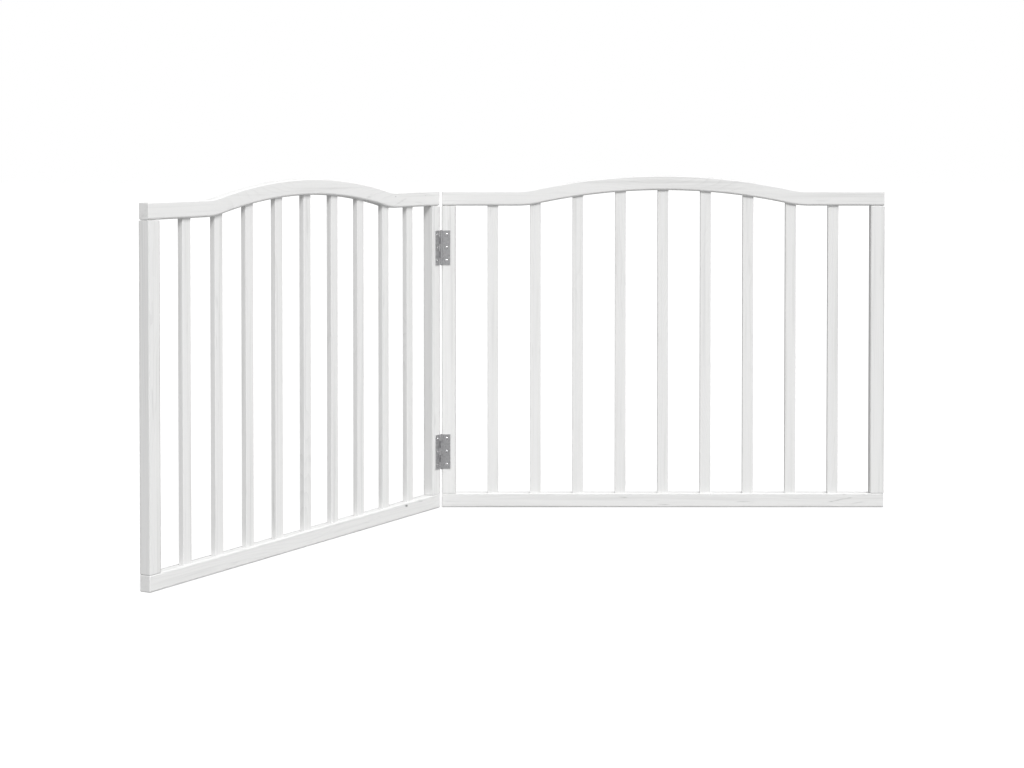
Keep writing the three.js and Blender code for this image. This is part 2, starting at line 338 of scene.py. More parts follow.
colour = add(
    wood_grain, "ShaderNodeMix",
    {"Factor": mask, "A": wood_in["Wash"], "B": wood_in["Stain"]}, data_type="RGBA",
)
wood_grain.links.new(colour.outputs[2], wood_out.inputs["Color"])
rough = calc(wood_grain, "MULTIPLY_ADD", brushed, BRUSHED_ROUGHER, WASH_ROUGHNESS)
wood_grain.links.new(
    calc(wood_grain, "MULTIPLY_ADD", mask, STAIN_ROUGHER, rough), wood_out.inputs["Roughness"]
)
wood_grain.links.new(
    calc(wood_grain, "SUBTRACT", calc(wood_grain, "MULTIPLY", brushed, 0.35), mask),
    wood_out.inputs["Height"],
)


def new_material(name):
    """An empty material with one Principled shader, and its tree."""
    material = bpy.data.materials.new(name)
    material.use_nodes = True
    tree = material.node_tree
    tree.nodes.clear()
    shader = tree.nodes.new("ShaderNodeBsdfPrincipled")
    output = tree.nodes.new("ShaderNodeOutputMaterial")
    tree.links.new(shader.outputs[0], output.inputs["Surface"])
    return material, tree, shader


def use_group(tree, group, inputs, kind="ShaderNodeGroup"):
    """Places a node group in a tree with its own values; its outputs."""
    return add(tree, kind, inputs, node_tree=group).outputs


def dress(tree, shader, colour, look, strength, distance):
    """Feeds a shader its colour, and the roughness and height of a look."""
    height = {"Height": look["Height"], "Strength": strength, "Distance": distance}
    bump = add(tree, "ShaderNodeBump", height)
    tree.links.new(colour, shader.inputs["Base Color"])
    tree.links.new(look["Roughness"], shader.inputs["Roughness"])
    tree.links.new(bump.outputs[0], shader.inputs["Normal"])


# One soft-edged mark in a plank, a wisp of grey or a knot: its place and its half sizes along the
# grain, across it and inwards, and how far it is turned across the grain.
soft_mark, mark_in, mark_out = new_tree(
    "soft_mark", "Grain:Vector, Place:Vector, Half Size:Vector, Tilt, Ragged", "ShaderNodeTree", "Mask"
)
from_mark = add(
    soft_mark, "ShaderNodeVectorMath", {0: mark_in["Grain"], 1: mark_in["Place"]},
    operation="SUBTRACT",
)
tilted = add(
    soft_mark, "ShaderNodeVectorRotate",
    {"Vector": from_mark.outputs[0], "Angle": mark_in["Tilt"]}, rotation_type="Z_AXIS",
)
in_mark = add(
    soft_mark, "ShaderNodeVectorMath", {0: tilted.outputs[0], 1: mark_in["Half Size"]},
    operation="DIVIDE",
)
mark_reach = add(soft_mark, "ShaderNodeVectorMath", {0: in_mark.outputs[0]}, operation="LENGTH")
frayed = drawn_out(soft_mark, mark_in["Grain"], 60.0, 420.0, 0.2, 0.8)
mark_edge = calc(soft_mark, "MULTIPLY_ADD", frayed, mark_in["Ragged"], mark_reach.outputs["Value"])
mark_mask = add(
    soft_mark, "ShaderNodeMapRange",
    {"Value": mark_edge, "From Min": 1.0, "From Max": 0.15}, interpolation_type="SMOOTHSTEP",
)
soft_mark.links.new(mark_mask.outputs[0], mark_out.inputs["Mask"])

# Where each rail lies in its plank: a shift along the grain, across it and inwards.
bottom_grain = {"right": (3.10, 0.0, 0.0), "left": (7.40, 0.012, 0.004)}
top_grain = {"right": (5.20, -0.552, 0.009), "left": (9.90, -0.548, 0.0)}

# The marks that show on each rail: place along it, height on it, half length, half height, tilt,
# strength.
GREY_WISPS = {
    bottom_grain["right"]: [
        (0.330, 0.0180, 0.020, 0.0026, 0.15, 0.60),
        (0.400, 0.0050, 0.030, 0.0022, 0.0, 0.60),
        (0.545, 0.0100, 0.036, 0.0028, -0.05, 0.50),
        (0.640, 0.0160, 0.030, 0.0020, 0.06, 0.26),
        (0.722, 0.0140, 0.050, 0.0028, -0.20, 0.80),
        (0.750, 0.0080, 0.034, 0.0030, -0.18, 0.34),
    ],
    bottom_grain["left"]: [
        (0.738, 0.0205, 0.030, 0.0026, 0.10, 0.70),
        (0.560, 0.0120, 0.040, 0.0026, 0.08, 0.22),
        (0.400, 0.0060, 0.030, 0.0022, 0.0, 0.30),
    ],
    top_grain["left"]: [
        (0.570, 0.5660, 0.030, 0.0070, -0.45, 0.26),
        (0.670, 0.5560, 0.050, 0.0040, -0.30, 0.40),
        (0.735, 0.5530, 0.035, 0.0030, 0.10, 0.34),
    ],
}
DARK_KNOTS = {
    bottom_grain["left"]: [
        (0.688, 0.0205, 0.0085, 0.0036, 0.2, 1.0),
    ],
    top_grain["left"]: [
        (0.655, 0.5660, 0.0030, 0.0016, 0.0, 0.7),
        (0.752, 0.5655, 0.0026, 0.0014, 0.0, 0.6),
    ],
}
MARK_DEPTH = 0.016


def marks_in(tree, grain, marks, ragged):
    """The strongest of several marks at each point, as a mask."""
    strongest = 0.0
    for shift, on_rail in marks.items():
        for along, up, length, height, tilt, strength in on_rail:
            mark = use_group(
                tree, soft_mark,
                {"Grain": grain, "Place": (along + shift[0], up + shift[1], shift[2]),
                 "Half Size": (length, height, MARK_DEPTH), "Tilt": tilt, "Ragged": ragged},
            )
            faded = calc(tree, "MULTIPLY", mark["Mask"], strength)
            strongest = calc(tree, "MAXIMUM", faded, strongest)
    return strongest


whitewashed_wood, wood_tree, wood_shader = new_material("whitewashed_wood")
grain_here = add(
    wood_tree, "ShaderNodeAttribute", attribute_name="grain", attribute_type="GEOMETRY"
).outputs["Vector"]
wood_look = use_group(
    wood_tree, wood_grain,
    {"Grain": grain_here, "Wash": WASH, "Stain": STAIN, "Figure": 0.17, "Streaks": 0.24, "Marks": 0.28},
)
wisped = add(
    wood_tree, "ShaderNodeMix",
    {"Factor": marks_in(wood_tree, grain_here, GREY_WISPS, 0.7), "A": wood_look["Color"], "B": STAIN},
    data_type="RGBA",
)
knotted = add(
    wood_tree, "ShaderNodeMix",
    {"Factor": marks_in(wood_tree, grain_here, DARK_KNOTS, 0.4), "A": wisped.outputs[2], "B": KNOT},
    data_type="RGBA",
)
dress(wood_tree, wood_shader, knotted.outputs[2], wood_look, 0.5, GRAIN_DEPTH)

# Upright boxes in a row, which cut the mortises of a rail.
mortise_row, row_in, row_out = new_tree(
    "mortise_row",
    "Count:Int, First, Spacing, Width, Depth, Middle, Low, High, Material:Material",
)
row_height = calc(mortise_row, "SUBTRACT", row_in["High"], row_in["Low"])
box_size = vector(mortise_row, row_in["Width"], row_in["Depth"], row_height)
box = add(mortise_row, "GeometryNodeMeshCube", {"Size": box_size})
row_level = calc(mortise_row, "MULTIPLY_ADD", row_height, 0.5, row_in["Low"])
row_start = vector(mortise_row, row_in["First"], row_in["Middle"], row_level)
row_step = vector(mortise_row, row_in["Spacing"])
row_line = add(
    mortise_row, "GeometryNodeMeshLine",
    {"Count": row_in["Count"], "Start Location": row_start, "Offset": row_step}, mode="OFFSET",
)
row_boxes = add(
    mortise_row, "GeometryNodeInstanceOnPoints",
    {"Points": row_line.outputs[0], "Instance": box.outputs[0]},
)
row_real = add(mortise_row, "GeometryNodeRealizeInstances", {0: row_boxes.outputs[0]})
row_finish = add(
    mortise_row, "GeometryNodeSetMaterial",
    {"Geometry": row_real.outputs[0], "Material": row_in["Material"]},
)
mortise_row.links.new(row_finish.outputs[0], row_out.inputs[0])

dowel_low, dowel_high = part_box("right_hinge_post_bottom_dowel")
dowel_radius = (dowel_high.x - dowel_low.x) / 2
post_middle = dowel_low.x + dowel_radius - rail_low.x  # from the panel's end to a post's middle
post_middles = {"left": post_middle, "right": panel_length - post_middle}

for side, place in panel_places.items():
    rail = planed_board(
        f"{side}_bottom_rail_wood",
        (0, 0, 0),
        (panel_length, board_thickness, rail_high.z),
        0, RAIL_EDGE, RAIL_END_EDGE,
    )
    mortises = grown(
        "mortises", mortise_row,
        count=slat_count, first=first_slat, spacing=slat_spacing,
        width=slat_width + 2 * mortise_gap, depth=slat_thickness + 2 * mortise_gap,
        middle=board_thickness / 2, low=slat_low.z - mortise_gap, high=rail_high.z + RAIL_EDGE,
        material=whitewashed_wood,
    )
    holes = [
        dowel_hole(x, dowel_low.z - mortise_gap, rail_high.z + RAIL_EDGE)
        for x in post_middles.values()
    ]
    cut(rail, mortises, *holes)
    run_grain(rail, 0, bottom_grain[side])
    finish_piece(
        rail, place, whitewashed_wood, f"{side}_panel", "whitewashed_wood", f"{side}_bottom_rail"
    )

# ---------- dowels ----------
# Plain beech pegs, glued half in a post and half in a rail at each of the eight frame joints. They
# are turned to size with chamfered ends, and none of them shows once the frame is together.
BEECH = (0.58, 0.42, 0.25, 1)
BEECH_DARK = (0.40, 0.26, 0.14, 1)
TURNED_GRAIN_DEPTH = 0.0001

dowel_wood, dowel_tree, dowel_shader = new_material("dowel_wood")
object_place = add(dowel_tree, "ShaderNodeTexCoord").outputs["Object"]
upright = add(
    dowel_tree, "ShaderNodeMapping", {"Vector": object_place, "Rotation": (0, math.pi / 2, 0)}
).outputs[0]
dowel_look = use_group(
    dowel_tree, wood_grain,
    {"Grain": upright, "Wash": BEECH, "Stain": BEECH_DARK, "Figure": 0.8, "Streaks": 0.7, "Marks": 0.2},
)
dress(dowel_tree, dowel_shader, dowel_look["Color"], dowel_look, 0.6, TURNED_GRAIN_DEPTH)

for name, node in frame["nodes"].items():
    if name.endswith("_dowel"):
        node.data.materials.clear()
        node.data.materials.append(dowel_wood)

# ---------- posts ----------
# Four uprights, two to a panel, of the same stock as the rails. They stand between the rails on
# their dowels, so their ends are eased, and the hinge posts are drilled for the hinge screws.
POST_EDGE = 0.0012
POST_END_EDGE = 0.0010
PILOT_RADIUS = 0.0018
PILOT_SIDES = 16
PILOT_PROUD = 0.002  # how far a pilot hole's cutter stands out of the wood
post_grain = {
    "right_hinge_post": (11.30, 0.021, 0.006),
    "right_end_post": (14.80, -0.013, 0.011),
    "left_hinge_post": (18.10, 0.017, -0.004),
    "left_end_post": (2.45, 0.008, 0.002),
}

post_low, post_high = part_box("right_hinge_post")
post_width = post_high.x - post_low.x
screw_low, screw_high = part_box("lower_hinge_right_screw_1")
screw_middle = (screw_low + screw_high) / 2
head_radius = (screw_high.z - screw_low.z) / 2
screw_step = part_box("lower_hinge_right_screw_2")[0].z - screw_low.z
screw_count = sum(name.startswith("lower_hinge_right_screw_") for name in frame["nodes"])
hinge_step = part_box("upper_hinge_right_screw_1")[0].z - screw_low.z
screw_levels = [
    screw_middle.z + hinge * hinge_step + i * screw_step
    for hinge in (0, 1) for i in range(screw_count)
]
screw_length = screw_high.y - screw_low.y
screw_inset = screw_middle.x - rail_low.x
level_turn = Matrix.Rotation(math.pi / 2, 4, "X")

for side, panel_place in panel_places.items():
    for end, x in post_middles.items():
        at_hinge = end != side
        label = f"{side}_{'hinge' if at_hinge else 'end'}_post"
        post = planed_board(
            f"{label}_wood",
            (x - post_width / 2, 0, post_low.z),
            (x + post_width / 2, board_thickness, post_high.z),
            2, POST_EDGE, POST_END_EDGE,
        )
        top_dowel_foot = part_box(f"{label}_top_dowel")[0].z
        bottom_dowel_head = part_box(f"{label}_bottom_dowel")[1].z
        holes = [
            dowel_hole(x, top_dowel_foot - mortise_gap, post_high.z + RAIL_EDGE),
            dowel_hole(x, post_low.z - RAIL_EDGE, bottom_dowel_head + mortise_gap),
        ]
        if at_hinge:
            screw_x = screw_inset if side == "right" else panel_length - screw_inset
            for level in screw_levels:
                place = Matrix.Translation((screw_x, screw_length / 2 - PILOT_PROUD, level)) @ level_turn
                holes.append(drill(place, screw_length, PILOT_RADIUS, PILOT_SIDES))
        cut(post, *holes)
        run_grain(post, 2, post_grain[label])
        finish_piece(
            post, panel_place, whitewashed_wood, f"{side}_panel", "whitewashed_wood", label
        )

# ---------- slats ----------
# Nine thin upright slats to a panel. Their ends stand in the rails' mortises, so each is cut to
# the height of the arch above it. Every slat comes from its own length of wood.
SLAT_EDGE = 0.0010
SLAT_TENON = 0.010
TOP_RAIL_HEIGHT = 0.026
ARCH_HALF_SPAN = 0.263
ARCH_BLEND = 0.180  # radius of the hollow at each foot of the arch

rail_top_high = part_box("right_top_rail")[1]
underside = slat_high.z - SLAT_TENON  # of the top rail, where it is level
arch_rise = rail_top_high.z - underside - TOP_RAIL_HEIGHT

# Height of the arched rail's line above the rail's level underside. Above is how far the line lies
# above the underside itself, so that one rule gives both edges and the middle of the rail.
arch_rule, rule_in, rule_out = new_tree(
    "arch_rule", "X, Panel Middle, Half Span, Rise, Blend Radius, Above", outputs="Height"
)
away = calc(arch_rule, "ABSOLUTE", calc(arch_rule, "SUBTRACT", rule_in["X"], rule_in["Panel Middle"]))
span_squared = calc(arch_rule, "POWER", rule_in["Half Span"], 2.0)
rise_part = calc(arch_rule, "DIVIDE", span_squared, rule_in["Rise"])
reach = calc(arch_rule, "MULTIPLY", calc(arch_rule, "ADD", rise_part, rule_in["Rise"]), 0.5)
crest_radius = calc(arch_rule, "SUBTRACT", reach, rule_in["Blend Radius"])
crest_line = calc(arch_rule, "ADD", crest_radius, rule_in["Above"])
hollow_line = calc(arch_rule, "SUBTRACT", rule_in["Blend Radius"], rule_in["Above"])
knee = calc(
    arch_rule, "MULTIPLY", crest_line, calc(arch_rule, "DIVIDE", rule_in["Half Span"], reach)
)
square = lambda value: calc(arch_rule, "POWER", value, 2.0)
circle = lambda radius, offset: calc(
    arch_rule, "SQRT", calc(arch_rule, "SUBTRACT", square(radius), square(offset))
)
crest_middle = calc(arch_rule, "SUBTRACT", rule_in["Rise"], crest_radius)
crest_height = calc(arch_rule, "ADD", crest_middle, circle(crest_line, away))
from_foot = calc(
    arch_rule, "MAXIMUM", calc(arch_rule, "SUBTRACT", rule_in["Half Span"], away), 0.0
)
hollow_height = calc(
    arch_rule, "SUBTRACT", rule_in["Blend Radius"], circle(hollow_line, from_foot)
)
past_knee = add(
    arch_rule, "FunctionNodeCompare", {"A": away, "B": knee},
    data_type="FLOAT", operation="GREATER_THAN",
)
arch_height = add(
    arch_rule, "GeometryNodeSwitch",
    {"Switch": past_knee.outputs[0], "False": crest_height, "True": hollow_height}, input_type="FLOAT",
)
arch_rule.links.new(arch_height.outputs[0], rule_out.inputs[0])


def arch_above(tree, sizes, x, above):
    """The arch's height at a place along a panel, in a tree with the arch's sizes as inputs."""
    inputs = {name: sizes[name] for name in ("Panel Middle", "Half Span", "Rise", "Blend Radius")}
    return use_group(tree, arch_rule, {"X": x, "Above": above, **inputs}, "GeometryNodeGroup")[0]


# A row of upright slats under the arch.
slat_row, slats_in, slats_out = new_tree(
    "slat_row",
    "Count:Int, First, Spacing, Width, Thickness, Edge Radius, Middle, Low, Underside, Tenon, "
    "Panel Middle, Half Span, Rise, Blend Radius, Seed:Int, Material:Material",
)
slat_outline = add(
    slat_row, "GeometryNodeCurvePrimitiveQuadrilateral",
    {"Width": slats_in["Width"], "Height": slats_in["Thickness"]}, mode="RECTANGLE",
)
slat_section = add(
    slat_row, "GeometryNodeFilletCurve",
    {"Curve": slat_outline.outputs[0], "Count": 4, "Radius": slats_in["Edge Radius"]}, mode="POLY",
)
slat_line = add(slat_row, "GeometryNodeCurvePrimitiveLine", {"Start": (0, 0, 0), "End": (0, 0, 1)})
slat_solid = add(
    slat_row, "GeometryNodeCurveToMesh",
    {"Curve": slat_line.outputs[0], "Profile Curve": slat_section.outputs[0], "Fill Caps": True},
)
slat_start = vector(slat_row, slats_in["First"], slats_in["Middle"], slats_in["Low"])
slat_step = vector(slat_row, slats_in["Spacing"])
slat_feet = add(
    slat_row, "GeometryNodeMeshLine",
    {"Count": slats_in["Count"], "Start Location": slat_start, "Offset": slat_step}, mode="OFFSET",
)
foot_place, foot_xyz = where(slat_row)
arch_here = arch_above(slat_row, slats_in, foot_xyz[0], 0.0)
level_top = calc(slat_row, "ADD", slats_in["Underside"], slats_in["Tenon"])
tops = calc(slat_row, "ADD", arch_here, level_top)
slat_scale = vector(slat_row, 1.0, 1.0, calc(slat_row, "SUBTRACT", tops, slats_in["Low"]))
standing = add(
    slat_row, "GeometryNodeInstanceOnPoints",
    {"Points": slat_feet.outputs[0], "Instance": slat_solid.outputs[0], "Scale": slat_scale},
)
plank = add(
    slat_row, "FunctionNodeRandomValue",
    {"Min": (-9.0, -0.03, -0.012), "Max": (9.0, 0.03, 0.012), "Seed": slats_in["Seed"]},
    data_type="FLOAT_VECTOR",
)
centred = add(
    slat_row, "ShaderNodeVectorMath", {0: plank.outputs[0], 1: foot_place}, operation="SUBTRACT"
)
marked = add(
    slat_row, "GeometryNodeStoreNamedAttribute",
    {"Geometry": standing.outputs[0], "Name": "plank", "Value": centred.outputs[0]},
    data_type="FLOAT_VECTOR", domain="INSTANCE",
)
slats_real = add(slat_row, "GeometryNodeRealizeInstances", {0: marked.outputs[0]})
plank_here = add(
    slat_row, "GeometryNodeInputNamedAttribute", {"Name": "plank"}, data_type="FLOAT_VECTOR"
)
in_plank = add(
    slat_row, "ShaderNodeVectorMath", {0: foot_place, 1: plank_here.outputs[0]}, operation="ADD"
)
turned = add(slat_row, "ShaderNodeSeparateXYZ", {0: in_plank.outputs[0]}).outputs
along_slat = vector(slat_row, turned[2], turned[0], turned[1])
grained = add(
    slat_row, "GeometryNodeStoreNamedAttribute",
    {"Geometry": slats_real.outputs[0], "Name": "grain", "Value": along_slat},
    data_type="FLOAT_VECTOR", domain="POINT",
)
bare = add(
    slat_row, "GeometryNodeRemoveAttribute", {"Geometry": grained.outputs[0], "Name": "plank"}
)
end_tree(slat_row, bare.outputs[0], slats_in["Material"], slats_out)

arch_sizes = {
    "panel_middle": panel_length / 2, "half_span": ARCH_HALF_SPAN, "rise": arch_rise,
    "blend_radius": ARCH_BLEND, "underside": underside,
}
slat_seeds = {"right": 4, "left": 11}

for side, place in panel_places.items():
    slats = grown(
        f"{side}_slats", slat_row,
        count=slat_count, first=first_slat, spacing=slat_spacing, width=slat_width,
        thickness=slat_thickness, edge_radius=SLAT_EDGE, middle=board_thickness / 2,
        low=slat_low.z, tenon=SLAT_TENON, seed=slat_seeds[side], material=whitewashed_wood,
        **arch_sizes,
    )
    finish_piece(
        slats, place, whitewashed_wood, f"{side}_panel", "whitewashed_wood",
        *[f"{side}_slat_{i + 1}" for i in range(slat_count)],
    )

# ---------- top rails ----------
# The arched rails, band-sawn from wide boards to one height all along, then rounded over: more on
# the upper edges, which are handled. The slats' mortises and the dowel holes are in the underside.
TOP_EDGE = 0.004
UNDER_EDGE = 0.002
STATIONS = 201  # sections along the rail

arched_rail, arched_in, arched_out = new_tree(
    "arched_rail",
    "Length, Height, Thickness, Underside, Panel Middle, Half Span, Rise, Blend Radius, "
    "Upper Edge, Lower Edge, Stations:Int, Material:Material",
)
half_thickness = calc(arched_rail, "MULTIPLY", arched_in["Thickness"], 0.5)
half_height = calc(arched_rail, "MULTIPLY", arched_in["Height"], 0.5)
line_start = vector(arched_rail, 0.0, half_thickness)
line_end = vector(arched_rail, arched_in["Length"], half_thickness)
level_line = add(
    arched_rail, "GeometryNodeCurvePrimitiveLine", {"Start": line_start, "End": line_end}
)
stations = add(
    arched_rail, "GeometryNodeResampleCurve",
    {"Curve": level_line.outputs[0], "Count": arched_in["Stations"]}, mode="COUNT",
)
rail_arch = arch_above(arched_rail, arched_in, where(arched_rail)[1][0], half_height)
lift = vector(arched_rail, 0.0, 0.0, calc(arched_rail, "ADD", rail_arch, arched_in["Underside"]))
arched_line = add(
    arched_rail, "GeometryNodeSetPosition", {"Geometry": stations.outputs[0], "Offset": lift}
)
upright_line = add(
    arched_rail, "GeometryNodeSetCurveNormal", {"Curve": arched_line.outputs[0]}, mode="Z_UP"
)
rail_outline = add(
    arched_rail, "GeometryNodeCurvePrimitiveQuadrilateral",
    {"Width": arched_in["Thickness"], "Height": arched_in["Height"]}, mode="RECTANGLE",
)
upper_corner = add(
    arched_rail, "FunctionNodeCompare", {"A": where(arched_rail)[1][1], "B": 0.0},
    data_type="FLOAT", operation="GREATER_THAN",
)
corner_radius = add(
    arched_rail, "GeometryNodeSwitch",
    {"Switch": upper_corner.outputs[0], "False": arched_in["Lower Edge"],
     "True": arched_in["Upper Edge"]}, input_type="FLOAT",
)
rail_section = add(
    arched_rail, "GeometryNodeFilletCurve",
    {"Curve": rail_outline.outputs[0], "Count": 6, "Radius": corner_radius.outputs[0]}, mode="POLY",
)
rail_solid = add(
    arched_rail, "GeometryNodeCurveToMesh",
    {"Curve": upright_line.outputs[0], "Profile Curve": rail_section.outputs[0], "Fill Caps": True},
)
end_tree(arched_rail, rail_solid.outputs[0], arched_in["Material"], arched_out)

for side, place in panel_places.items():
    rail = grown(
        f"{side}_top_rail_wood", arched_rail,
        length=panel_length, height=TOP_RAIL_HEIGHT, thickness=board_thickness,
        upper_edge=TOP_EDGE, lower_edge=UNDER_EDGE, stations=STATIONS, material=whitewashed_wood,
        **arch_sizes,
    )
    shape = bmesh.new()
    shape.from_mesh(rail.data)
    ease_ends(shape, 0, RAIL_END_EDGE)
    shape.to_mesh(rail.data)
    shape.free()
    mortises = grown(
        "mortises", slat_row,
        count=slat_count, first=first_slat, spacing=slat_spacing,
        width=slat_width + 2 * mortise_gap, thickness=slat_thickness + 2 * mortise_gap,
        edge_radius=mortise_gap, middle=board_thickness / 2, low=underside - RAIL_EDGE,
        tenon=SLAT_TENON + mortise_gap, seed=0, material=whitewashed_wood, **arch_sizes,
    )
    dowel_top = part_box(f"{side}_hinge_post_top_dowel")[1].z + mortise_gap
    holes = [dowel_hole(x, underside - RAIL_EDGE, dowel_top) for x in post_middles.values()]
    cut(rail, mortises, *holes)
    run_grain(rail, 0, top_grain[side])
    finish_piece(
        rail, place, whitewashed_wood, f"{side}_panel", "whitewashed_wood", f"{side}_top_rail"
    )

# ---------- hinge leaves ----------
# Two butt hinges: each leaf is a strip of zinc-plated sheet, notched along one side, its tongues
# rolled round the pin to make the knuckles, and its screw holes punched and countersunk.
KNUCKLE_RADIUS = 0.0024
LEAF_THICKNESS = 0.0009
ROLL_STEPS = 26
ROLL_CLEAR = 0.00012  # between the rolled edge and the leaf that it comes back to
NOTCH_GAP = 0.0005  # beside the other leaf's knuckles
KNUCKLES = 5
KNUCKLE_GAP = 0.0003
STAMPED_EDGE = 0.00012
COUNTERSINK_GAP = 0.0003
CUTTER_PROUD = 0.001
HOLE_REACH = 0.004  # well through the leaf
SAME_POINT = 1e-7
SHANK_RADIUS = 0.0015
ZINC = (0.63, 0.63, 0.64, 1)
ZINC_DULL = (0.49, 0.49, 0.50, 1)
SCRATCH_DEPTH = 0.00003

leaf_low, leaf_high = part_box("lower_hinge_right_leaf")
hinge_height = leaf_high.z - leaf_low.z
leaf_reach = leaf_high.x - pin.x
knuckle_pitch = hinge_height / KNUCKLES
screw_reach = screw_middle.x - pin.x
hinge_levels = {
    level: (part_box(f"{level}_hinge_right_leaf")[0].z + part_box(f"{level}_hinge_right_leaf")[1].z) / 2
    for level in ("lower", "upper")
}
hinge_places = {"right": pin_axis, "left": swung}

# Plated steel: faint rolling lines, cloudy patches of duller zinc, and fine handling scratches.
plate_look, plate_in, plate_out = new_tree(
    "plated_steel",
    "Place:Vector, Bright:Color, Dull:Color, Polish",
    "ShaderNodeTree",
    "Color:Color, Roughness, Height",
)
clouds = add(
    plate_look, "ShaderNodeTexNoise",
    {"Vector": plate_in["Place"], "Scale": 230.0, "Detail": 4.0, "Roughness": 0.6},
).outputs[0]
cloudy = add(
    plate_look, "ShaderNodeMapRange", {"Value": clouds, "From Min": 0.38, "From Max": 0.66},
    interpolation_type="SMOOTHSTEP",
).outputs[0]
rolling = drawn_out(plate_look, plate_in["Place"], 2600.0, 220.0, 0.3, 0.7)
scratches = drawn_out(plate_look, plate_in["Place"], 420.0, 5200.0, 0.62, 0.72)
plate_colour = add(
    plate_look, "ShaderNodeMix",
    {"Factor": cloudy, "A": plate_in["Bright"], "B": plate_in["Dull"]}, data_type="RGBA",
)
plate_look.links.new(plate_colour.outputs[2], plate_out.inputs["Color"])
plate_rough = calc(plate_look, "MULTIPLY_ADD", cloudy, 0.16, plate_in["Polish"])
plate_look.links.new(
    calc(plate_look, "MULTIPLY_ADD", rolling, 0.06, plate_rough), plate_out.inputs["Roughness"]
)
plate_look.links.new(
    calc(plate_look, "SUBTRACT", calc(plate_look, "MULTIPLY", rolling, 0.5), scratches),
    plate_out.inputs["Height"],
)


def plated(name, bright, dull, polish):
    """A plated steel material."""
    material, tree, shader = new_material(name)
    place = add(tree, "ShaderNodeTexCoord").outputs["Object"]
    look = use_group(
        tree, plate_look, {"Place": place, "Bright": bright, "Dull": dull, "Polish": polish}
    )
    dress(tree, shader, look["Color"], look, 0.35, SCRATCH_DEPTH)
    shader.inputs["Metallic"].default_value = 1.0
    return material


hinge_steel = plated("hinge_steel", ZINC, ZINC_DULL, 0.34)


def rolled_strip(name, direction):
    """A strip of sheet, flat and then rolled round the pin, as tall as the hinge."""
    bore = KNUCKLE_RADIUS - LEAF_THICKNESS
    turn = 1.5 * math.pi + math.asin((bore - ROLL_CLEAR) / KNUCKLE_RADIUS)
    inner = [(leaf_reach, bore)]
    outer = [(leaf_reach, KNUCKLE_RADIUS)]
    for step in range(ROLL_STEPS + 1):
        angle = math.pi / 2 + turn * step / ROLL_STEPS
        inner.append((bore * math.cos(angle), bore * math.sin(angle)))
        outer.append((KNUCKLE_RADIUS * math.cos(angle), KNUCKLE_RADIUS * math.sin(angle)))
    shape = bmesh.new()
    rings = []
    for near, far in zip(inner, outer):
        corners = [(near, -0.5), (far, -0.5), (far, 0.5), (near, 0.5)]
        rings.append([
            shape.verts.new((direction * x, y, end * hinge_height)) for (x, y), end in corners
        ])
    for here, there in zip(rings, rings[1:]):
        for i in range(4):
            shape.faces.new((here[i], here[(i + 1) % 4], there[(i + 1) % 4], there[i]))
    shape.faces.new(rings[0][::-1])
    shape.faces.new(rings[-1])
    bmesh.ops.recalc_face_normals(shape, faces=shape.faces[:])
    return from_bmesh(name, shape)


def lathed(name, outline):
    """A turned solid: radii and heights from one end of its axis, which is upright, to the other."""
    shape = bmesh.new()
    line = [shape.verts.new((radius, 0, height)) for radius, height in outline]
    edges = [shape.edges.new(pair) for pair in zip(line, line[1:])]
    bmesh.ops.spin(
        shape, geom=line + edges, cent=(0, 0, 0), axis=(0, 0, 1), angle=2 * math.pi,
        steps=HOLE_SIDES, use_merge=True,
    )
    bmesh.ops.remove_doubles(shape, verts=shape.verts[:], dist=SAME_POINT)
    bmesh.ops.recalc_face_normals(shape, faces=shape.faces[:])
    return from_bmesh(name, shape)


def countersink(x, level):
    """A cutter for one screw hole, its cone widest at the leaf's front."""
    wide = head_radius + COUNTERSINK_GAP
    narrow = SHANK_RADIUS + COUNTERSINK_GAP
    cutter = lathed("hole", [
        (0, CUTTER_PROUD), (wide, CUTTER_PROUD), (wide, 0), (narrow, narrow - wide),
        (narrow, -HOLE_REACH), (0, -HOLE_REACH),
    ])
    place = Matrix.Translation((x, KNUCKLE_RADIUS - LEAF_THICKNESS, level)) @ level_turn
    cutter.data.transform(place)
    return cutter


for side, direction in (("right", 1), ("left", -1)):
    others = range(1 if side == "right" else 0, KNUCKLES, 2)
    for level, height in hinge_levels.items():
        leaf = rolled_strip(f"{level}_hinge_{side}_leaf_steel", direction)
        notches = []
        for k in others:
            low = -hinge_height / 2 + k * knuckle_pitch - KNUCKLE_GAP / 2
            high = low + knuckle_pitch + KNUCKLE_GAP
            reach = KNUCKLE_RADIUS + NOTCH_GAP
            low = low if k > 0 else low - NOTCH_GAP
            high = high if k < KNUCKLES - 1 else high + NOTCH_GAP
            notch = box_between((-reach, -reach, low), (reach, reach, high))
            notches.append(from_bmesh("notch", notch))
        cut(leaf, *notches)
        holes = []
        for i in range(screw_count):
            step = (i - (screw_count - 1) / 2) * screw_step
            holes.append(countersink(direction * screw_reach, step))
        cut(leaf, *holes)
        edges = leaf.modifiers.new("stamped edges", "BEVEL")
        edges.width = STAMPED_EDGE
        edges.segments = 2
        edges.limit_method = "ANGLE"
        edges.angle_limit = SHARP_ANGLE
        made_plain(leaf)
        place = hinge_places[side] @ Matrix.Translation((0, 0, height))
        finish_piece(
            leaf, place, hinge_steel, f"{side}_panel", "hinge_steel", f"{level}_hinge_{side}_leaf"
        )

# ---------- hinge pins ----------
# A drawn wire through the knuckles of each hinge, its ends peened over into low domes so that it
# can't drop out. The pins stay with the right leaves.
PIN_RADIUS = 0.0012
DOME_STEPS = 6
DOME_RIM = 0.25  # of the dome's height is an upright rim
WIRE = (0.55, 0.55, 0.56, 1)
WIRE_DULL = (0.36, 0.36, 0.37, 1)

